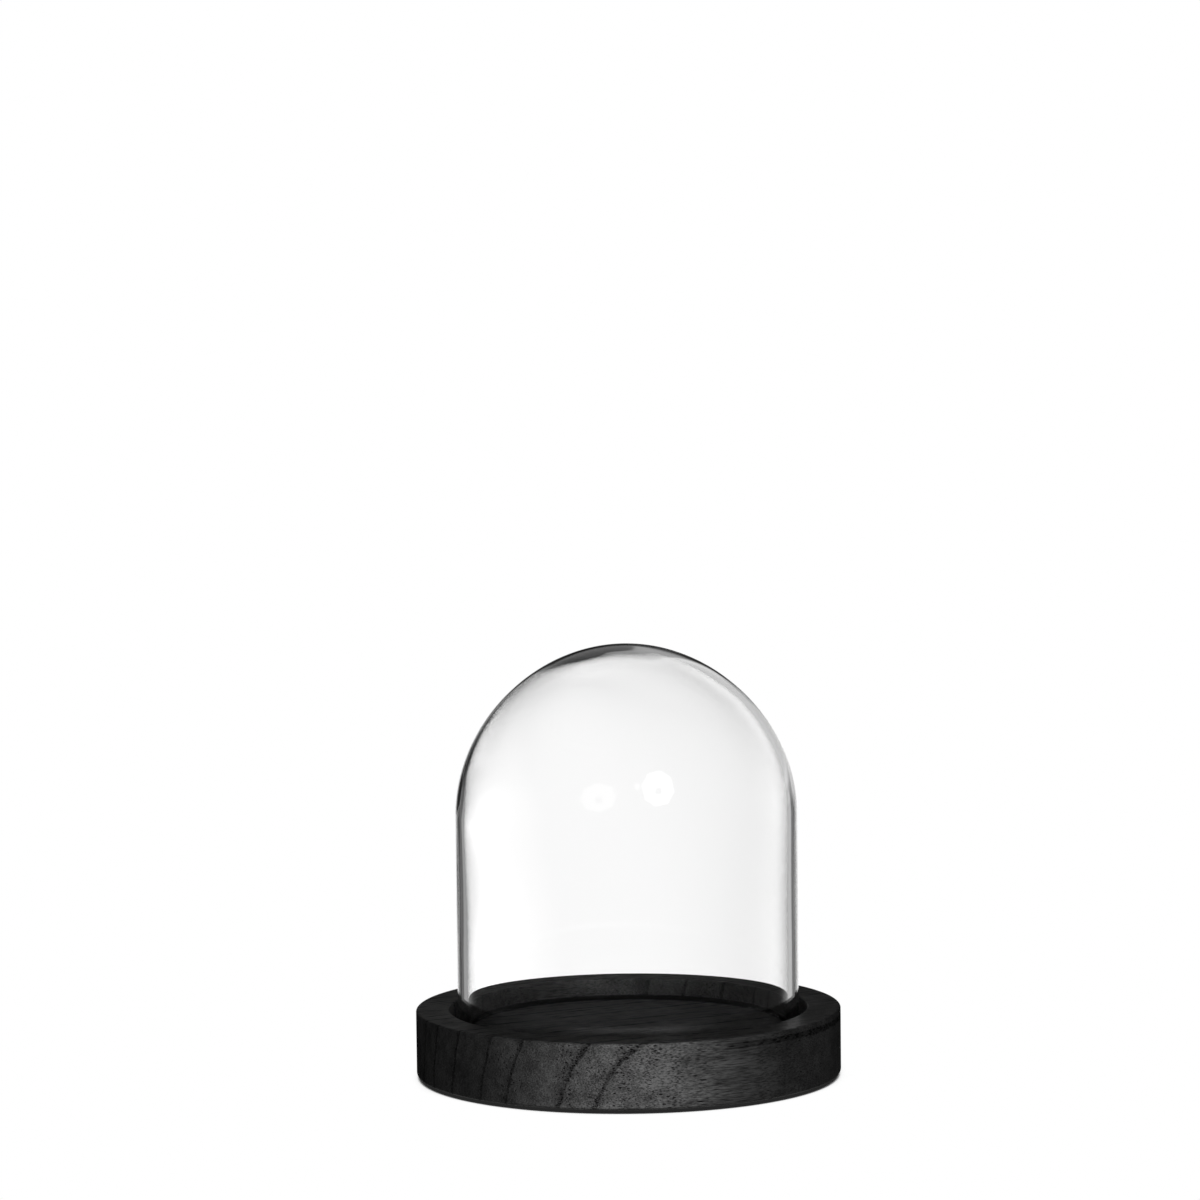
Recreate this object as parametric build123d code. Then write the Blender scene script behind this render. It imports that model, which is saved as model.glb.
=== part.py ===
"""Bell jar dome: a clear glass dome that stands loose in the dished top of a round wooden base.

Millimetres, +Z up. The jar's axis is the Z axis, and Z is zero at the table that the felt pads stand on.
"""

from build123d import *
import math
import os

# Glass dome: straight tube, drawn in and blown to a half ball at the closed end.
# The angles are degrees down from the crown, seen from the centre of the half ball.
GLASS_DIAMETER = 100.0
GLASS_HEIGHT = 112.5
TUBE_WALL = 3.0
DRAWN_LENGTH = 25.0  # length of tube, below the half ball, over which the wall thins
DRAWN_WALL = 2.6  # where the tube meets the half ball
HAUNCH_WALL = 2.0
HAUNCH_ANGLE = 66.0
SHOULDER_WALL = 1.2  # the blown shoulder is the thinnest glass
SHOULDER_ANGLE = 42.0
GATHER_WALL = 2.0
GATHER_ANGLE = 22.0
CROWN_WALL = 2.8  # glass gathers where the tube was closed
RIM_FLAT = 0.5  # ring left flat between the two sides of the fire-polished rim

# Wooden base: one turned round with a dish that the dome stands in.
DISH_CLEARANCE = 2.5  # from the glass to the dish wall, all round
DISH_DEPTH = 5.8
DISH_CORNER = 0.5  # round left by the cutter between the dish wall and its floor
FLOOR_THICKNESS = 13.2
BORDER_WIDTH = 9.75  # top face between the dish and the outside
TOP_EDGE_ROUND = 0.6
DISH_EDGE_ROUND = 0.4
FOOT_EDGE_ROUND = 0.8

# Felt pads: die-cut discs glued under the base.
PAD_COUNT = 4
PAD_DIAMETER = 12.0
PAD_THICKNESS = 1.0
PAD_EDGE_ROUND = 0.2
PAD_INSET = 6.25  # from the outside of the base to the edge of a pad
PAD_START_ANGLE = 45.0

glass_radius = GLASS_DIAMETER / 2
dish_radius = glass_radius + DISH_CLEARANCE
base_radius = dish_radius + BORDER_WIDTH
pad_radius = PAD_DIAMETER / 2
pad_pitch_radius = base_radius - PAD_INSET - pad_radius

base_foot = PAD_THICKNESS
dish_floor = base_foot + FLOOR_THICKNESS
base_top = dish_floor + DISH_DEPTH
glass_top = dish_floor + GLASS_HEIGHT
ball_centre = glass_top - glass_radius


def turned(profile):
    """A solid of revolution about the Z axis, from a face drawn on the XZ plane."""
    return revolve(profile, axis=Axis.Z)


def xz(x, z):
    """A point on the XZ plane."""
    return Vector(x, 0, z)


def inside_ball(wall, angle):
    """A point on the inside of the half ball, where the glass is wall thick."""
    reach = glass_radius - wall
    lean = math.radians(angle)
    return xz(reach * math.sin(lean), ball_centre + reach * math.cos(lean))


def glass_dome():
    """Tube and half ball in one wall, thick at the crown and thin at the shoulder, with a round rim."""
    rim_round = (TUBE_WALL - RIM_FLAT) / 2
    bore_radius = glass_radius - TUBE_WALL
    rim_side = dish_floor + rim_round
    slant = rim_round * (1 - math.sqrt(0.5))
    crown_inside = inside_ball(CROWN_WALL, 0)
    tube_inside = xz(bore_radius, ball_centre - DRAWN_LENGTH)

    outside = Line(xz(glass_radius, rim_side), xz(glass_radius, ball_centre))
    ball = ThreePointArc(
        xz(glass_radius, ball_centre),
        xz(glass_radius * math.sqrt(0.5), ball_centre + glass_radius * math.sqrt(0.5)),
        xz(0, glass_top),
    )
    crown = Line(xz(0, glass_top), crown_inside)
    blown = Spline(
        crown_inside,
        inside_ball(GATHER_WALL, GATHER_ANGLE),
        inside_ball(SHOULDER_WALL, SHOULDER_ANGLE),
        inside_ball(HAUNCH_WALL, HAUNCH_ANGLE),
        inside_ball(DRAWN_WALL, 90),
        tube_inside,
        tangents=(Vector(1, 0, 0), Vector(0, 0, -1)),
    )
    inside = Line(tube_inside, xz(bore_radius, rim_side))
    inner_lip = ThreePointArc(
        xz(bore_radius, rim_side),
        xz(bore_radius + slant, dish_floor + slant),
        xz(bore_radius + rim_round, dish_floor),
    )
    land = Line(xz(bore_radius + rim_round, dish_floor), xz(glass_radius - rim_round, dish_floor))
    outer_lip = ThreePointArc(
        xz(glass_radius - rim_round, dish_floor),
        xz(glass_radius - slant, dish_floor + slant),
        xz(glass_radius, rim_side),
    )
    return turned(make_face([outside, ball, crown, blown, inside, inner_lip, land, outer_lip]))


def wooden_base():
    """Round block with a flat-floored dish, and every edge eased."""
    outline = Polyline(
        xz(0, base_foot),
        xz(base_radius, base_foot),
        xz(base_radius, base_top),
        xz(dish_radius, base_top),
        xz(dish_radius, dish_floor),
        xz(0, dish_floor),
        close=True,
    )
    block = turned(make_face(outline))

    def edge(radius, height):
        circles = block.edges().filter_by(GeomType.CIRCLE)
        return circles.filter_by(lambda e: abs(e.radius - radius) < 1e-6).filter_by_position(
            Axis.Z, height - 1e-6, height + 1e-6
        )

    block = fillet(edge(base_radius, base_top), TOP_EDGE_ROUND)
    block = fillet(edge(base_radius, base_foot), FOOT_EDGE_ROUND)
    block = fillet(edge(dish_radius, base_top), DISH_EDGE_ROUND)
    block = fillet(edge(dish_radius, dish_floor), DISH_CORNER)
    return block


def felt_pad(number):
    """One felt disc under the base, with its cut lower edge worn round."""
    disc = Cylinder(pad_radius, PAD_THICKNESS, align=(Align.CENTER, Align.CENTER, Align.MIN))
    disc = fillet(disc.edges().group_by(Axis.Z)[0], PAD_EDGE_ROUND)
    turn = math.radians(PAD_START_ANGLE + 360 * number / PAD_COUNT)
    return Pos(pad_pitch_radius * math.cos(turn), pad_pitch_radius * math.sin(turn), 0) * disc


os.makedirs("parts", exist_ok=True)
export_step(glass_dome(), "parts/glass_dome.step")
export_step(wooden_base(), "parts/wooden_base.step")
for number in range(PAD_COUNT):
    export_step(felt_pad(number), f"parts/felt_pad_{number + 1}.step")
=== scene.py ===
import math

import bpy
import numpy as np
from mathutils import Matrix, Vector


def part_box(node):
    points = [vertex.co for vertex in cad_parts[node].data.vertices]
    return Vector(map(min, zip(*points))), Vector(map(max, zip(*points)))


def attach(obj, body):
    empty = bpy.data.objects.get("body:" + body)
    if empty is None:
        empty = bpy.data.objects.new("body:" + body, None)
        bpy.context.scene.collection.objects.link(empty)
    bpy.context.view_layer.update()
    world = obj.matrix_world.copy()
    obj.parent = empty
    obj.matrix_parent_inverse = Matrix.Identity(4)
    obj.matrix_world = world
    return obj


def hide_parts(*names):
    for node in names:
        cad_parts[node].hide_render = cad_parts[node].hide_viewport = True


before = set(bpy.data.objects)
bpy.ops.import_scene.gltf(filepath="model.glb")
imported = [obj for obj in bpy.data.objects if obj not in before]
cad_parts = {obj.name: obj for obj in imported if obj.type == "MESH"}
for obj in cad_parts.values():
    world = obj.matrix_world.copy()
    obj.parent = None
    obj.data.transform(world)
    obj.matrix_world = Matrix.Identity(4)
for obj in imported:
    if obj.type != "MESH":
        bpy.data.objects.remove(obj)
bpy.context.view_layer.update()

MM = 0.001

# ---- Wooden base -------------------------------------------------------------------------------
# One round of open-pored board, turned on a faceplate with a flat-floored dish for the glass.
# Solid wood, stained black and rubbed to a satin, with every edge eased.

base_low, base_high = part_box("wooden_base")
glass_low, glass_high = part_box("glass_dome")
base_radius = base_high.x
glass_radius = glass_high.x
DISH_CLEARANCE = 2.5 * MM
dish_radius = glass_radius + DISH_CLEARANCE
dish_floor = glass_low.z

TOP_EDGE = 0.6 * MM
DISH_EDGE = 0.4 * MM
DISH_CORNER = 0.5 * MM
FOOT_EDGE = 0.8 * MM
BASE_AROUND = 480  # points round the base

STAIN = 0.009  # how much light the black stain sends back

# The board's own lie: which way its grain runs, where the heart of the tree was, and its rings.
GRAIN_TURN = math.radians(29)
HEART_ACROSS = 100 * MM
HEART_HEIGHT = -7.9 * MM
RING_RADII = [r * MM for r in (51.2, 58.4, 71.7, 80.4, 92.4, 103.5, 112, 125, 136, 144.5, 157, 169)]
RING_WANDER = 2.4 * MM  # how far a ring strays as it runs along the board
RING_RAG = 0.9 * MM  # how ragged its edge is, from one bundle of fibres to the next
RING_START = 0.4 * MM  # over this much the dark line of a ring comes up
RING_END = (0.5 * MM, 1.4 * MM)  # and over this span it dies away
EARLY_WOOD = 3.6 * MM  # soft wood laid down after each ring

# Across the board, where the wood near the heart begins, and along it, where its rings run out.
HEART_SIDE = (-36 * MM, -20 * MM)
RINGS_RUN_OUT = (-20 * MM, -4 * MM)

# A stripe of pores opened by the cutter: its height, where along the board it starts, and its width.
STRIPE_HEIGHT = 17.7 * MM
STRIPE_START = -6 * MM
STRIPE_FADE = 6 * MM
STRIPE_HALF_WIDTH = (0.5 * MM, 1.2 * MM)

SANDED_HOLLOW = 0.04 * MM  # how far sanding takes down the soft wood that follows each ring
SANDED_WIDTH = 1.6 * MM
ON_THE_SIDE = 1e-7  # a point this near the radius counts as lying on it

grain_across = Vector((math.sin(GRAIN_TURN), -math.cos(GRAIN_TURN), 0))


def eased(centre_r, centre_z, radius, start, stop, steps=6):
    """A round between two faces, as (radius, height) points from one angle to another."""
    turns = np.radians(np.linspace(start, stop, steps))
    return [(centre_r + radius * math.cos(t), centre_z + radius * math.sin(t)) for t in turns]


def straight(a, b, steps):
    """Points along a straight stretch of a profile, its last point left to the next stretch."""
    return [(a[0] + (b[0] - a[0]) * i / steps, a[1] + (b[1] - a[1]) * i / steps) for i in range(steps)]


def closed_skin(name, start, rings, end):
    """A smooth closed mesh from a height on the axis, through rings of points, to another height."""
    around = len(rings[0])
    points = [(0.0, 0.0, start)]
    points += [tuple(point) for ring in rings for point in ring]
    points.append((0.0, 0.0, end))
    faces = []
    last = 1 + (len(rings) - 1) * around
    for i in range(around):
        j = (i + 1) % around
        faces.append((0, 1 + j, 1 + i))
        faces.append((last + i, last + j, len(points) - 1))
    for k in range(len(rings) - 1):
        for i in range(around):
            j = (i + 1) % around
            low = 1 + k * around
            faces.append((low + i, low + j, low + around + j, low + around + i))
    mesh = bpy.data.meshes.new(name)
    mesh.from_pydata(points, [], faces)
    mesh.polygons.foreach_set("use_smooth", [True] * len(mesh.polygons))
    mesh.update()
    piece = bpy.data.objects.new(name, mesh)
    bpy.context.collection.objects.link(piece)
    return piece


def turn_on_lathe(name, profile, around):
    """A closed mesh turned about Z from (radius, height) points that start and end on the axis."""
    turns = np.linspace(0, 2 * math.pi, around, endpoint=False)
    rings = [[(r * math.cos(t), r * math.sin(t), z) for t in turns] for r, z in profile[1:-1]]
    return closed_skin(name, profile[0][1], rings, profile[-1][1])


def base_profile():
    """Up the outside, over the border, down into the dish and in to the middle."""
    r, d, low, top, floor = base_radius, dish_radius, base_low.z, base_high.z, dish_floor
    outline = straight((0, low), (r - FOOT_EDGE, low), 12)
    outline += eased(r - FOOT_EDGE, low + FOOT_EDGE, FOOT_EDGE, -90, 0)
    outline += straight((r, low + FOOT_EDGE), (r, top - TOP_EDGE), 24)[1:]
    outline += eased(r - TOP_EDGE, top - TOP_EDGE, TOP_EDGE, 0, 90, 8)
    outline += straight((r - TOP_EDGE, top), (d + DISH_EDGE, top), 12)[1:]
    outline += eased(d + DISH_EDGE, top - DISH_EDGE, DISH_EDGE, 90, 180)
    outline += straight((d, top - DISH_EDGE), (d, floor + DISH_CORNER), 8)[1:]
    outline += eased(d - DISH_CORNER, floor + DISH_CORNER, DISH_CORNER, 0, -90)
    outline += straight((d - DISH_CORNER, floor), (0, floor), 24)[1:]
    return outline + [(0, floor)]


def past_last_ring(point):
    """How far a point of the board is beyond the growth ring inside it."""
    across = point.dot(grain_across) - HEART_ACROSS
    reach = math.hypot(across, point.z - HEART_HEIGHT)
    return min([reach - r for r in RING_RADII if r <= reach] or [reach])


def put(tree, kind, settings=None, **fields):
    """A shader node with its fields set, and its sockets fed by a value or by another socket."""
    made = tree.nodes.new("ShaderNode" + kind)
    for field, value in fields.items():
        setattr(made, field, value)
    for socket, value in (settings or {}).items():
        if isinstance(value, bpy.types.NodeSocket):
            tree.links.new(value, made.inputs[socket])
        else:
            made.inputs[socket].default_value = value
    return made


def sum_up(tree, how, *terms):
    """One arithmetic node on sockets or numbers."""
    return put(tree, "Math", dict(enumerate(terms)), operation=how).outputs[0]


def plus(tree, total, *terms):
    """Sockets or numbers added together."""
    for term in terms:
        total = sum_up(tree, "ADD", total, term)
    return total


def times(tree, product, *factors):
    """Sockets or numbers multiplied together."""
    for factor in factors:
        product = sum_up(tree, "MULTIPLY", product, factor)
    return product


def off_axis(tree, one, other):
    """Distance from an axis, from the offsets along two directions square to it."""
    return sum_up(tree, "SQRT", plus(tree, times(tree, one, one), times(tree, other, other)))


def spread(tree, value, low, high, to_low=0.0, to_high=1.0, smooth=True):
    """A value carried from one span to another, held at both ends."""
    settings = {"Value": value, "From Min": low, "From Max": high, "To Min": to_low, "To Max": to_high}
    kind = "SMOOTHSTEP" if smooth else "LINEAR"
    return put(tree, "MapRange", settings, interpolation_type=kind).outputs["Result"]


def grey(tree, level):
    """A colour with no hue."""
    return put(tree, "CombineColor", {0: level, 1: level, 2: level}).outputs[0]


def new_finish(name):
    """An empty material: its node tree and its principled shader."""
    material = bpy.data.materials.new(name)
    material.use_nodes = True
    tree = material.node_tree
    return material, tree, tree.nodes["Principled BSDF"]


def in_the_board(tree):
    """A point turned to the board's own lie: X along the grain, Y level and away from the heart, Z up."""
    turning = {"Vector": put(tree, "TexCoord").outputs["Object"], "Angle": -GRAIN_TURN}
    return put(tree, "VectorRotate", turning, rotation_type="Z_AXIS").outputs[0]


def noise_in(tree, lie, stretch, detail, roughness=0.5):
    """Noise with its own number of cells in a metre along the grain, across it and up."""
    cells = put(tree, "Mapping", {"Vector": lie, "Scale": stretch}).outputs[0]
    settings = {"Vector": cells, "Scale": 1.0, "Detail": detail, "Roughness": roughness}
    return put(tree, "TexNoise", settings).outputs[0]


def straying(tree, lie, stretch, detail, width):
    """A length that strays to either side of nothing, over the width given."""
    return sum_up(tree, "MULTIPLY_ADD", noise_in(tree, lie, stretch, detail), width, -width / 2)


def pores_in(tree, lie, stretch, share, small, large):
    """Open pores: one to a cell, in the share of the cells asked for."""
    cells = put(tree, "Mapping", {"Vector": lie, "Scale": stretch}).outputs[0]
    found = put(tree, "TexVoronoi", {"Vector": cells, "Scale": 1.0, "Randomness": 1.0})
    chance = put(tree, "SeparateColor", {0: found.outputs["Color"]}).outputs[0]
    hollow = spread(tree, found.outputs["Distance"], small, large, 1.0, 0.0)
    return times(tree, hollow, sum_up(tree, "LESS_THAN", chance, share))


def beyond_a_ring(tree, lie, level, height, rag):
    """How far each point is beyond the growth ring inside it; the rings wander along the board."""
    wander = straying(tree, lie, (18, 90, 90), 3.0, RING_WANDER)
    across = plus(tree, level, HEART_ACROSS)
    rise = sum_up(tree, "SUBTRACT", height, HEART_HEIGHT)
    reach = plus(tree, off_axis(tree, across, rise), wander, rag)
    beyond = reach
    for radius in RING_RADII:
        past = sum_up(tree, "SUBTRACT", reach, radius)
        past = plus(tree, past, sum_up(tree, "LESS_THAN", past, 0.0))
        beyond = sum_up(tree, "MINIMUM", beyond, past)
    return beyond


def opened_stripe(tree, along, height, rag, near_heart):
    """The stripe that runs along the board just under its top."""
    off_line = sum_up(tree, "ABSOLUTE", sum_up(tree, "SUBTRACT", height, STRIPE_HEIGHT))
    off_line = plus(tree, off_line, times(tree, rag, 0.6))
    started = spread(tree, along, STRIPE_START, STRIPE_START + STRIPE_FADE)
    return times(tree, spread(tree, off_line, *STRIPE_HALF_WIDTH, 1.0, 0.0), near_heart, started)


def open_pores(tree, lie, ring, early, runs_out, stripe):
    """Pores are long tubes: dots where the board is cut across, dashes where it is cut along."""
    share = sum_up(tree, "MULTIPLY_ADD", ring, 0.85, sum_up(tree, "MULTIPLY_ADD", early, 0.18, 0.06))
    share = times(tree, share, spread(tree, runs_out, 0.0, 1.0, 1.0, 0.3))
    large_pore = pores_in(tree, lie, (90, 1900, 1900), share, 0.22, 0.55)
    small_pore = pores_in(tree, lie, (150, 2900, 2900), 0.6, 0.16, 0.52)
    dashes = pores_in(tree, lie, (330, 1500, 1500), 0.85, 0.3, 0.65)
    pore = sum_up(tree, "MAXIMUM", large_pore, times(tree, small_pore, 0.65))
    return sum_up(tree, "MAXIMUM", pore, times(tree, stripe, dashes))


def uneven_stain(tree, lie, fibre):
    """Fine fibre streaks, and the slow drift of tone where the stain took unevenly."""
    streak = noise_in(tree, lie, (9, 420, 300), 5.0, 0.62)
    blotch = noise_in(tree, lie, (40, 75, 75), 2.0)
    tone = spread(tree, fibre, 0.36, 0.66, 0.45, 1.6, smooth=False)
    tone = times(tree, tone, spread(tree, streak, 0.3, 0.7, 0.72, 1.28))
    return times(tree, tone, spread(tree, blotch, 0.3, 0.7, 0.8, 1.2))


def painted_dish_shade(tree, along, level, height):
    """Painted shade in the corner of the dish, under and outside the foot of the glass: the wood is
    darkened and its shine dulled there.
    """
    from_axis = off_axis(tree, along, level)
    starts = spread(tree, from_axis, glass_radius - 4 * MM, glass_radius - 2.5 * MM)
    stops = spread(tree, from_axis, dish_radius + 1 * MM, dish_radius + 2 * MM, 1.0, 0.0)
    bottom = spread(tree, height, dish_floor - 2 * MM, dish_floor - 1 * MM)
    top = spread(tree, height, dish_floor + 0.4 * MM, dish_floor + 1.2 * MM, 1.0, 0.0)
    return times(tree, starts, top, stops, bottom)


def black_stained_wood():
    """Ring-porous wood under black stain: dotted on the end grain, streaked along the rest."""
    material, tree, shader = new_finish("black_stained_wood")
    lie = in_the_board(tree)
    along, level, height = put(tree, "SeparateXYZ", {0: lie}).outputs
    near_heart = spread(tree, level, *HEART_SIDE, 1.0, 0.0)
    rag = straying(tree, lie, (120, 1100, 1100), 1.0, RING_RAG)
    beyond = beyond_a_ring(tree, lie, level, height, rag)

    # Towards the heart the rings run out into plain wood halfway along the board.
    runs_out = times(tree, near_heart, spread(tree, along, *RINGS_RUN_OUT))
    marked = sum_up(tree, "SUBTRACT", 1.0, runs_out)
    early = times(tree, marked, spread(tree, beyond, 0.0, EARLY_WOOD, 1.0, 0.0))
    ring = times(tree, marked, spread(tree, beyond, *RING_END, 1.0, 0.0))
    ring = times(tree, ring, spread(tree, beyond, 0.0, RING_START))
    stripe = opened_stripe(tree, along, height, rag, near_heart)
    pore = open_pores(tree, lie, ring, early, runs_out, stripe)
    fibre = noise_in(tree, lie, (170, 2900, 2900), 3.0, 0.7)

    # Each mark leaves only a share of the tone round it; the dish corner's share is painted shade.
    tone = uneven_stain(tree, lie, fibre)
    painted_corner_shade = painted_dish_shade(tree, along, level, height)
    for mark, left in ((early, 0.78), (ring, 0.62), (pore, 0.15), (stripe, 0.5), (painted_corner_shade, 0.05)):
        tone = times(tree, tone, spread(tree, mark, 0.0, 1.0, 1.0, left))
    tree.links.new(grey(tree, times(tree, tone, STAIN)), shader.inputs["Base Color"])

    # The finish gathers dull in the pores and shines least where the fibres stand up; the painted shade in
    # the dish corner dims its shine too.
    shine = spread(tree, tone, 0.0, 1.5, 0.0, 0.8, smooth=False)
    tree.links.new(shine, shader.inputs["Specular IOR Level"])
    rough = sum_up(tree, "MULTIPLY_ADD", pore, 0.25, spread(tree, fibre, 0.3, 0.7, 0.46, 0.36))
    tree.links.new(rough, shader.inputs["Roughness"])
    shader.inputs["IOR"].default_value = 1.5
    relief = sum_up(tree, "SUBTRACT", times(tree, fibre, 0.4), pore)
    relief = sum_up(tree, "SUBTRACT", relief, times(tree, ring, 0.35))
    bump = put(tree, "Bump", {"Height": relief, "Strength": 0.6, "Distance": 0.1 * MM})
    tree.links.new(bump.outputs[0], shader.inputs["Normal"])
    return material


wooden_base = turn_on_lathe("wooden_base_turned", base_profile(), BASE_AROUND)
wooden_base.data.materials.append(black_stained_wood())

# Sanding leaves the hard late wood a hair proud of the soft wood that follows each ring.
for vertex in wooden_base.data.vertices:
    flat = Vector((vertex.co.x, vertex.co.y, 0))
    upright = base_low.z + FOOT_EDGE < vertex.co.z < base_high.z - TOP_EDGE
    if upright and flat.length > base_radius - ON_THE_SIDE:
        soft = math.exp(-past_last_ring(vertex.co) / SANDED_WIDTH)
        vertex.co -= flat.normalized() * SANDED_HOLLOW * soft
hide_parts("wooden_base")
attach(wooden_base, "base")

# ---- Felt pads ---------------------------------------------------------------------------------
# Four discs die-cut from pressed black wool felt, stuck under the base on their own adhesive.
# The cut edge is slightly furred.

PAD_COUNT = 4
PAD_EDGE = 0.2 * MM
PAD_FUR = 0.05 * MM
PAD_AROUND = 96


def pressed_felt():
    """Matted fibres with no weave, lying every way."""
    material, tree, shader = new_finish("pressed_felt")
    where = put(tree, "TexCoord").outputs["Object"]
    tangle = {"Vector": where, "Scale": 2600.0, "Detail": 5.0, "Roughness": 0.75, "Distortion": 1.4}
    matted = put(tree, "TexNoise", tangle).outputs[0]
    tufts = put(tree, "TexNoise", {"Vector": where, "Scale": 520.0, "Detail": 2.0}).outputs[0]
    tone = spread(tree, matted, 0.3, 0.7, 0.012, 0.05)
    tone = times(tree, tone, spread(tree, tufts, 0.3, 0.7, 0.75, 1.2))
    tree.links.new(grey(tree, tone), shader.inputs["Base Color"])
    tree.links.new(spread(tree, matted, 0.3, 0.7, 0.85, 1.0), shader.inputs["Roughness"])
    shader.inputs["Sheen Weight"].default_value = 0.35
    shader.inputs["Sheen Roughness"].default_value = 0.6
    relief = put(tree, "Bump", {"Height": matted, "Strength": 0.8, "Distance": 0.12 * MM})
    tree.links.new(relief.outputs[0], shader.inputs["Normal"])
    return material


def pad_profile(radius, thickness):
    """Out along the lower face, round the worn edge, up the side and in along the glued face."""
    outline = straight((0, 0), (radius - PAD_EDGE, 0), 14)
    outline += eased(radius - PAD_EDGE, PAD_EDGE, PAD_EDGE, -90, 0, 5)
    outline += straight((radius, PAD_EDGE), (radius, thickness), 6)[1:]
    outline += straight((radius, thickness), (0, thickness), 6)
    return outline + [(0, thickness)]


felt = pressed_felt()
fur = np.random.default_rng(12)
for number in range(1, PAD_COUNT + 1):
    low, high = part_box(f"felt_pad_{number}")
    radius = (high.x - low.x) / 2
    pad = turn_on_lathe(f"felt_pad_cut_{number}", pad_profile(radius, high.z - low.z), PAD_AROUND)
    middle = Vector(((low.x + high.x) / 2, (low.y + high.y) / 2, low.z))
    for vertex in pad.data.vertices:
        side = Vector((vertex.co.x, vertex.co.y, 0))
        if side.length > radius - ON_THE_SIDE:
            vertex.co -= side.normalized() * PAD_FUR * fur.random()
        vertex.co += middle
    pad.data.materials.append(felt)
    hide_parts(f"felt_pad_{number}")
    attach(pad, "base")

# ---- Glass dome --------------------------------------------------------------------------------
# Drawn borosilicate tube, its end closed, gathered and blown to a half ball, its rim fire-polished.
# The tube is true, but the blown end is not: the wall is thin on one shoulder and thick on the other.

TUBE_WALL = 3.0 * MM
RIM_FLAT = 0.5 * MM  # ring left flat between the two lips of the rim
THINNING = 38 * MM  # length of tube, below the half ball, over which the wall comes back to true
BALL_FLAT = 0.5 * MM  # how far the blown shoulder falls short of a true ball
TURNING_OVER = 0.75  # share of the half width over which the thin side passes into the thick one

# Wall at each angle down from the crown, in degrees and mm. Front and back it is between the two.
THIN_SIDE = [(0, 2.1), (12, 1.75), (24, 1.2), (35, 0.75), (46, 0.65), (57, 0.9), (75, 1.6), (90, 2.35)]
THICK_SIDE = [(0, 2.1), (15, 2.2), (35, 2.3), (55, 2.35), (70, 2.45), (90, 2.7)]
CROWN_WALL = THIN_SIDE[0][1] * MM

# Two slow ripples in the wall, which die out over a span of angles down from the crown.
RIPPLE = 0.06 * MM
CROSS_RIPPLE = 0.03 * MM
RIPPLE_ENDS = 62
RIPPLE_FADE = 30

DOME_AROUND = 256
BALL_STEPS = 96
TUBE_STEPS = 40
LIP_STEPS = 7

RIM_PAINTED_DARK = 1.1 * MM  # painted shade: the lip of the rim is coloured near black where it stands in the corner of the dish
PAINTED_DARK_FADE = 0.3 * MM

ball_radius = glass_radius
ball_centre = glass_high.z - ball_radius
rim_round = (TUBE_WALL - RIM_FLAT) / 2


def even_curve(stations, at):
    """A smooth curve through given stations, read at the values asked for."""
    x = np.array([s[0] for s in stations], float)
    y = np.array([s[1] for s in stations], float)
    slope = np.gradient(y, x)
    slope[0] = slope[-1] = 0.0
    k = np.clip(np.searchsorted(x, at, side="right") - 1, 0, len(x) - 2)
    width = x[k + 1] - x[k]
    t = (at - x[k]) / width
    from_here = (2 * t**3 - 3 * t**2 + 1) * y[k] + (t**3 - 2 * t**2 + t) * width * slope[k]
    from_next = (3 * t**2 - 2 * t**3) * y[k + 1] + (t**3 - t**2) * width * slope[k + 1]
    return from_here + from_next


def gently(share):
    """A share held between 0 and 1, with a slow start and a slow stop."""
    share = np.clip(share, 0, 1)
    return share * share * (3 - 2 * share)


def blown_wall(turns, angles):
    """Wall of the blown end, for each angle down from the crown and each turn round the axis."""
    to_right = gently((np.cos(turns) + TURNING_OVER) / (2 * TURNING_OVER))
    thin = even_curve(THIN_SIDE, angles)
    thick = even_curve(THICK_SIDE, angles)
    wall = (thin + (thick - thin) * to_right) * MM

    # The gathered crown was never quite still while it cooled.
    lean = np.radians(angles)
    soft = np.sin(2 * lean) ** 2 * np.clip((RIPPLE_ENDS - angles) / RIPPLE_FADE, 0, 1)
    ripple = RIPPLE * np.sin(3 * turns + 6 * lean) + CROSS_RIPPLE * np.sin(5 * turns - 9 * lean + 1.3)
    return wall + ripple * soft


def ring_of(turns, reach, height):
    """One ring of points round the axis, level or not, with one radius or one for each turn."""
    reach = np.broadcast_to(reach, turns.shape)
    height = np.broadcast_to(height, turns.shape)
    return np.stack([reach * np.cos(turns), reach * np.sin(turns), height], axis=-1)


def ball_rings(turns, angles, reach):
    """Rings of the blown end, from the crown down, at a distance from the middle of the ball."""
    across = reach * np.sin(np.radians(angles))
    up = ball_centre + reach * np.cos(np.radians(angles))
    return [ring_of(turns, radius, height) for radius, height in zip(across, up)]


def rim_rings(turns):
    """The fire-polished rim: down the round inner lip, over the land and up the outer lip."""
    rings = []
    for bend in np.radians(np.linspace(0, 90, LIP_STEPS)[1:]):
        reach = glass_radius - TUBE_WALL + rim_round * (1 - math.cos(bend))
        rings.append(ring_of(turns, reach, glass_low.z + rim_round * (1 - math.sin(bend))))
    for bend in np.radians(np.linspace(90, 0, LIP_STEPS)):
        reach = glass_radius - rim_round * (1 - math.cos(bend))
        rings.append(ring_of(turns, reach, glass_low.z + rim_round * (1 - math.sin(bend))))
    return rings


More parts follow.
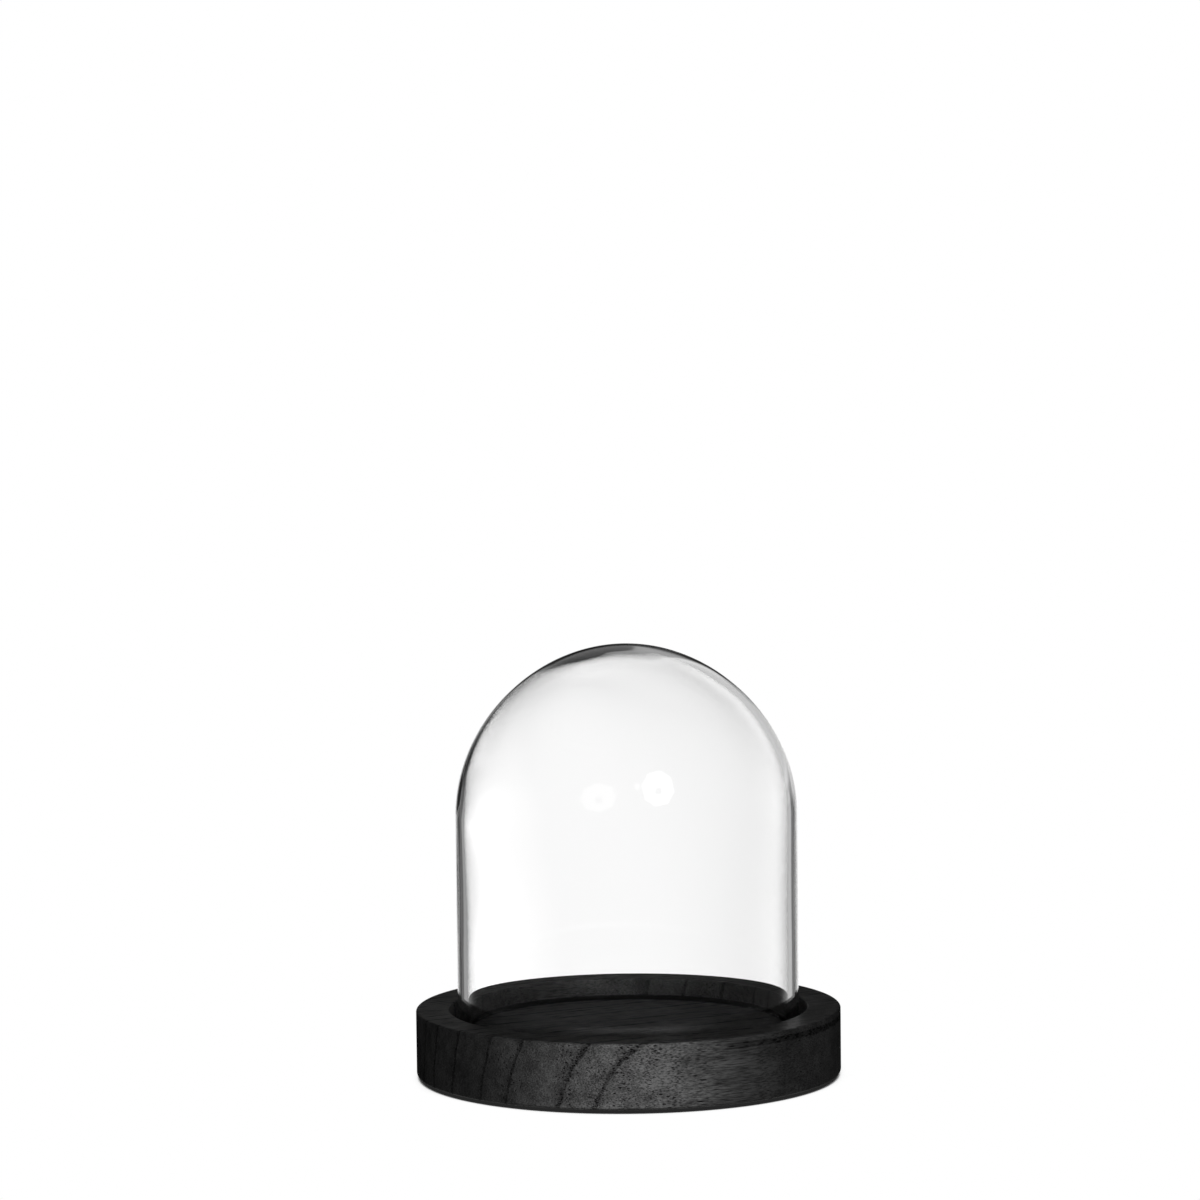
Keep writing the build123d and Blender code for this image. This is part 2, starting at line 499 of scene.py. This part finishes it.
def blown_dome():
    """Outside and inside of the glass as one closed surface, ring by ring from the inner crown."""
    turns = np.linspace(0, 2 * math.pi, DOME_AROUND, endpoint=False)
    angles = np.linspace(0, 90, BALL_STEPS)[1:, None]
    wall = blown_wall(turns, angles)

    # It cooled a little flatter than a ball halfway down, which the eye reads at the outline.
    outer = ball_radius - BALL_FLAT * np.sin(2 * np.radians(angles)) ** 2 * np.ones_like(turns)

    # Down the tube the wall comes back to the true thickness of the stock.
    heights = np.linspace(ball_centre, glass_low.z + rim_round, TUBE_STEPS)[1:]
    settled = gently((ball_centre - heights) / THINNING)[:, None]
    bores = ball_radius - (wall[-1] * (1 - settled) + TUBE_WALL * settled)

    rings = ball_rings(turns, angles, outer - wall)
    rings += [ring_of(turns, bore, height) for bore, height in zip(bores, heights)]
    rings += rim_rings(turns)
    rings += [ring_of(turns, ball_radius, height) for height in heights[::-1][1:]]
    rings += ball_rings(turns, angles, outer)[::-1]
    return closed_skin("glass_dome_blown", glass_high.z - CROWN_WALL, rings, glass_high.z)


def clear_glass():
    """Clear borosilicate, with painted shade on the lip of its rim. Lamps shine through it, so that what
    stands inside is lit.
    """
    material, tree, shader = new_finish("clear_glass")
    height = put(tree, "SeparateXYZ", {0: put(tree, "TexCoord").outputs["Object"]}).outputs[2]
    # Painted shade: below this height the glass is coloured near black, for the dark foot of the glass in
    # the dish.
    painted_dark_to = glass_low.z + RIM_PAINTED_DARK
    clear_above_painted_lip = spread(tree, height, painted_dark_to, painted_dark_to + PAINTED_DARK_FADE, 0.02, 1.0)
    tree.links.new(grey(tree, clear_above_painted_lip), shader.inputs["Base Color"])
    shader.inputs["Roughness"].default_value = 0.0
    shader.inputs["IOR"].default_value = 1.47
    shader.inputs["Transmission Weight"].default_value = 1.0
    shadow = put(tree, "LightPath").outputs["Is Shadow Ray"]
    passing = put(tree, "BsdfTransparent", {"Color": (0.9, 0.9, 0.9, 1)})
    both = put(tree, "MixShader", {0: shadow, 1: shader.outputs[0], 2: passing.outputs[0]})
    tree.links.new(both.outputs[0], tree.nodes["Material Output"].inputs["Surface"])
    return material


glass_dome = blown_dome()
glass_dome.data.materials.append(clear_glass())
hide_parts("glass_dome")
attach(glass_dome, "dome")

# ---- Studio: paper sweep -----------------------------------------------------------------------
# White paper under and behind the object, lit to a clean white of its own.
# It darkens only where the object touches down, over the width of a finger: painted contact shade from
# ambient occlusion.

SWEEP_SIZE = 30.0
CONTACT_SHADE_REACH = 30 * MM


def white_paper():
    """Paper that shines evenly, with painted contact shade close to whatever stands on it."""
    material, tree, shader = new_finish("white_paper")
    near = put(tree, "AmbientOcclusion", {"Distance": CONTACT_SHADE_REACH}, samples=16)
    # Painted contact shade: the paper's glow is dimmed by ambient occlusion, down to near black under the
    # base.
    level = spread(tree, near.outputs["AO"], 0.25, 0.56, 0.02, 1.0)
    paper = put(tree, "Emission", {"Color": (1, 1, 1, 1), "Strength": level})
    tree.links.new(paper.outputs[0], tree.nodes["Material Output"].inputs["Surface"])
    tree.nodes.remove(shader)
    return material


half = SWEEP_SIZE / 2
sweep_corners = [(-half, -half, 0), (half, -half, 0), (half, half, 0), (-half, half, 0)]
sweep_mesh = bpy.data.meshes.new("paper_sweep")
sweep_mesh.from_pydata(sweep_corners, [], [(0, 1, 2, 3)])
sweep = bpy.data.objects.new("paper_sweep", sweep_mesh)
bpy.context.collection.objects.link(sweep)
sweep_mesh.materials.append(white_paper())
for ray in ("visible_diffuse", "visible_glossy", "visible_transmission", "visible_shadow"):
    setattr(sweep, ray, False)

# ---- Studio: umbrellas -------------------------------------------------------------------------
# Two white umbrellas above and either side of the camera, each with its lamp head before it, and
# a third lamp seen edge on. They light the base from the front and show as soft shapes on the glass.

UMBRELLA_DISTANCE = 1.6
UMBRELLA_RIBS = 8
UMBRELLA_STEPS = 64
SCALLOP = 0.12  # how far the edge of the cloth draws in between two ribs
LAMP_HEAD_AHEAD = 0.1
LAMP_HEAD = ((-0.05, -0.1), (0.06, -0.1), (0.06, 0.01), (-0.05, 0.01))
THIRD_LAMP = ((-0.06, 0.02), (-0.01, -0.07), (0.04, -0.02), (0.05, 0.08), (-0.02, 0.11))

middle_of_ball = Vector((0, 0, ball_centre))


def glow_or_block(name, points, faces, strength):
    """A studio thing that is never seen itself: it shines, or with no strength it blocks."""
    mesh = bpy.data.meshes.new(name)
    mesh.from_pydata([tuple(p) for p in points], [], faces)
    thing = bpy.data.objects.new(name, mesh)
    bpy.context.collection.objects.link(thing)
    material, tree, shader = new_finish(name + "_surface")
    glow = put(tree, "Emission", {"Color": (1, 1, 1, 1), "Strength": strength})
    tree.links.new(glow.outputs[0], tree.nodes["Material Output"].inputs["Surface"])
    tree.nodes.remove(shader)
    mesh.materials.append(material)
    thing.visible_camera = False
    thing.visible_transmission = False
    thing.visible_shadow = False


def out_towards(turn, rise):
    """The way out to a lamp; turn and rise are degrees from straight in front."""
    turn, rise = math.radians(turn), math.radians(rise)
    return Vector((math.sin(turn) * math.cos(rise), -math.cos(turn) * math.cos(rise), math.sin(rise)))


def umbrella(name, turn, rise, width, height, strength, lean):
    """An eight-ribbed umbrella facing the object, with its lamp head nearer to the object."""
    out = out_towards(turn, rise)
    tilt = math.radians(lean)
    side = Vector((0, 0, 1)).cross(out).normalized()
    up = out.cross(side)
    side, up = side * math.cos(tilt) + up * math.sin(tilt), up * math.cos(tilt) - side * math.sin(tilt)
    centre = middle_of_ball + out * UMBRELLA_DISTANCE
    edge = []
    for i in range(UMBRELLA_STEPS):
        t = 2 * math.pi * i / UMBRELLA_STEPS
        scallop = 1 - SCALLOP * abs(math.sin(UMBRELLA_RIBS / 2 * t))
        edge.append(centre + side * width * scallop * math.cos(t) + up * height * scallop * math.sin(t))
    faces = [(0, 1 + i, 1 + (i + 1) % UMBRELLA_STEPS) for i in range(UMBRELLA_STEPS)]
    glow_or_block(name, [centre] + edge, faces, strength)
    near = centre - out * LAMP_HEAD_AHEAD
    head = [near + side * x + up * y for x, y in LAMP_HEAD]
    glow_or_block(name + "_lamp_head", head, [(0, 1, 2, 3)], 0.0)


umbrella("umbrella_left", -19, 19, 0.36, 0.29, 1.25, 8)
umbrella("umbrella_right", 22.8, 24.5, 0.31, 0.36, 3.4, -14)

# The third lamp stands above the camera, turned away to the paper behind.
third_place = middle_of_ball + out_towards(8, 26) * UMBRELLA_DISTANCE
third_corners = [third_place + Vector((x, 0, z)) for x, z in THIRD_LAMP]
glow_or_block("third_lamp", third_corners, [(0, 1, 2, 3, 4)], 2.0)

# ---- Studio: surroundings ----------------------------------------------------------------------
# White paper behind the object, with a black board to each side of it so that the glass has an edge.
# Three kinds of ray see it, each in its own way: those that pass straight through the glass, those
# that run in the thickness of its wall or are mirrored by it, and those that light the wood.

PAPER_MIDDLE = (-0.1, 0.995, 0.0)
FRONT_LIGHT = (0.01, -0.995, -0.1)
FRONT_STRENGTH = 2.35
BEHIND = 1.1  # the paper as it has to be for the glass to look as white as the paper beside it
DIM_ROOM = 0.1
OVERHEAD = (32.0, 45.0)  # degrees of rise over which the paper and the boards come to an end


def mix(tree, share, one, other):
    """One value where the share is nothing, another where it is whole."""
    return put(tree, "Mix", {0: share, 2: one, 3: other}).outputs[0]


def facing(tree, toward, direction):
    """How nearly a ray runs in a direction: 1 along it, 0 square to it."""
    return put(tree, "VectorMath", {0: toward, 1: direction}, operation="DOT_PRODUCT").outputs["Value"]


def seen_through(tree, west, bearing, rise, ahead):
    """White paper all round, made up for what the glass takes away."""
    made_up = plus(
        tree,
        spread(tree, west, 2.0, 20.0, 0.0, 0.9, smooth=False),
        spread(tree, bearing, 0.0, 4.0, 0.0, -0.06),
        spread(tree, bearing, 4.0, 13.0, 0.0, 0.4),
        spread(tree, rise, -4.0, 12.0, 0.0, 0.5),
    )
    upper = plus(tree, spread(tree, west, 4.0, 9.0, 0.0, 0.7), spread(tree, bearing, 5.0, 13.0, 0.0, 0.15))
    made_up = sum_up(tree, "MULTIPLY_ADD", upper, spread(tree, rise, -11.0, -6.0), made_up)
    through = sum_up(tree, "MULTIPLY_ADD", made_up, ahead, BEHIND)
    return times(tree, through, spread(tree, rise, *OVERHEAD, 1.0, 0.0))


def seen_in_wall(tree, west, bearing, rise):
    """The paper's end, the black board, and the room past it, to each side and above."""
    left = plus(tree, spread(tree, west, 9.0, 20.0, 1.0, 0.05), spread(tree, west, 26.0, 29.0, 0.0, 0.33))
    left = sum_up(tree, "MAXIMUM", left, spread(tree, rise, 1.0, 9.0, 0.0, 0.3))
    right_end = spread(tree, bearing, 13.0, 22.5, 1.0, 0.02)
    right = plus(tree, right_end, spread(tree, bearing, 25.5, 29.0, 0.0, 0.55))
    right = sum_up(tree, "MAXIMUM", right, spread(tree, rise, -6.0, -2.5, 0.0, 0.85))
    over = plus(tree, spread(tree, rise, -2.0, 3.0, 1.0, 0.03), spread(tree, rise, 12.0, 18.0, 0.0, 0.36))
    over = sum_up(tree, "MAXIMUM", over, spread(tree, west, 9.0, 14.0, 0.0, 0.5))
    over = sum_up(tree, "MAXIMUM", over, spread(tree, bearing, 9.5, 13.0, 0.0, 0.8))
    within = spread(tree, sum_up(tree, "ABSOLUTE", rise), *OVERHEAD, 1.0, 0.0)
    return times(tree, sum_up(tree, "MINIMUM", left, right), over, within)


def lights_the_wood(tree, toward, east, north, rise):
    """A broad soft light from the front, a little from the sides, above and behind, and what the
    lit paper sends up on to the back of the base."""
    front = spread(tree, facing(tree, toward, FRONT_LIGHT), 0.05, 1.0, smooth=False)
    front = times(tree, sum_up(tree, "POWER", front, 1.7), FRONT_STRENGTH)
    off_middle = sum_up(tree, "ABSOLUTE", sum_up(tree, "SUBTRACT", east, 0.1))
    front = times(tree, front, spread(tree, off_middle, 0.35, 0.95, 1.0, 0.5))
    behind = spread(tree, facing(tree, toward, PAPER_MIDDLE), 0.96, 1.0)
    behind = times(tree, behind, spread(tree, rise, 4.0, 24.0, 0.24, 0.0), spread(tree, rise, -10.0, 2.0))
    beside = times(tree, spread(tree, east, 0.5, 0.9, 0.0, 0.06), spread(tree, north, -0.1, 0.3))
    below = times(tree, spread(tree, north, 0.3, 0.9), spread(tree, rise, -60.0, -18.0, 0.9, 0.0))
    above = spread(tree, rise, 25.0, 80.0, 0.0, 0.5)
    return plus(tree, front, behind, beside, below, above)


def in_degrees(tree, angle):
    """An angle brought from radians to degrees."""
    return times(tree, angle, 180 / math.pi)


def surroundings():
    """The world of the studio: what comes back along a ray that leaves the object."""
    world = bpy.data.worlds.new("studio")
    world.use_nodes = True
    bpy.context.scene.world = world
    tree = world.node_tree
    background = tree.nodes["Background"]
    toward = put(tree, "TexCoord").outputs["Generated"]
    east, north, up = put(tree, "SeparateXYZ", {0: toward}).outputs
    bearing = in_degrees(tree, sum_up(tree, "ARCTAN2", east, north))
    west = times(tree, bearing, -1.0)
    rise = in_degrees(tree, sum_up(tree, "ARCSINE", up))
    ahead = spread(tree, north, 0.6, 0.8)

    # Away from the paper the room is dim, so the glass keeps a dark edge from any side.
    in_wall = seen_in_wall(tree, west, bearing, rise)
    mirrored = times(tree, in_wall, ahead)
    edge = mix(tree, ahead, DIM_ROOM, in_wall)

    # What has gone to and fro in the glass comes out faint.
    path = put(tree, "LightPath").outputs
    edge = times(tree, edge, spread(tree, path["Glossy Depth"], 1.5, 2.5, 1.0, 0.1))
    edge = times(tree, edge, spread(tree, path["Transmission Depth"], 2.5, 3.5, 1.0, 0.03))
    edge = mix(tree, path["Is Transmission Ray"], mirrored, edge)

    unmirrored = sum_up(tree, "LESS_THAN", path["Glossy Depth"], 0.5)
    passed = times(tree, path["Is Transmission Ray"], unmirrored)
    off_the_wood = sum_up(tree, "LESS_THAN", path["Diffuse Depth"], 0.5)
    in_glass = times(tree, path["Is Singular Ray"], off_the_wood)
    seen = mix(tree, passed, edge, seen_through(tree, west, bearing, rise, ahead))
    shown = mix(tree, in_glass, lights_the_wood(tree, toward, east, north, rise), seen)
    shown = mix(tree, path["Is Camera Ray"], shown, 1.0)
    tree.links.new(shown, background.inputs["Strength"])
    background.inputs["Color"].default_value = (1, 1, 1, 1)


surroundings()
bpy.context.scene.view_settings.view_transform = "Standard"

# ---- Studio: camera ----------------------------------------------------------------------------
# A long lens a little above the object, aimed over it so that the object stands low in the frame.

CAMERA_DISTANCE = 1.245
CAMERA_RISE = math.radians(10.47)
AIM_UP = math.radians(6.4)
AIM_SIDE = math.radians(-0.33)
CAMERA_ROLL = math.radians(-0.61)
LENS = 126.3
SENSOR_WIDTH = 36.0

back = Vector((0, -math.cos(CAMERA_RISE), math.sin(CAMERA_RISE)))
sight = -back
level_side = Vector((1, 0, 0))
sight = (sight + level_side * AIM_SIDE + level_side.cross(sight) * AIM_UP).normalized()
side = sight.cross(Vector((0, 0, 1))).normalized()
upward = side.cross(sight)
rolled_side = math.cos(CAMERA_ROLL) * side + math.sin(CAMERA_ROLL) * upward
rolled_up = math.cos(CAMERA_ROLL) * upward - math.sin(CAMERA_ROLL) * side

camera = bpy.data.objects.new("camera", bpy.data.cameras.new("camera"))
bpy.context.collection.objects.link(camera)
turn = Matrix((rolled_side, rolled_up, -sight)).transposed().to_4x4()
camera.matrix_world = Matrix.Translation(back * CAMERA_DISTANCE + Vector((0, 0, base_low.z))) @ turn
camera.data.lens = LENS
camera.data.sensor_width = SENSOR_WIDTH
camera.data.clip_start = 0.05
camera.data.clip_end = 100.0
bpy.context.scene.camera = camera
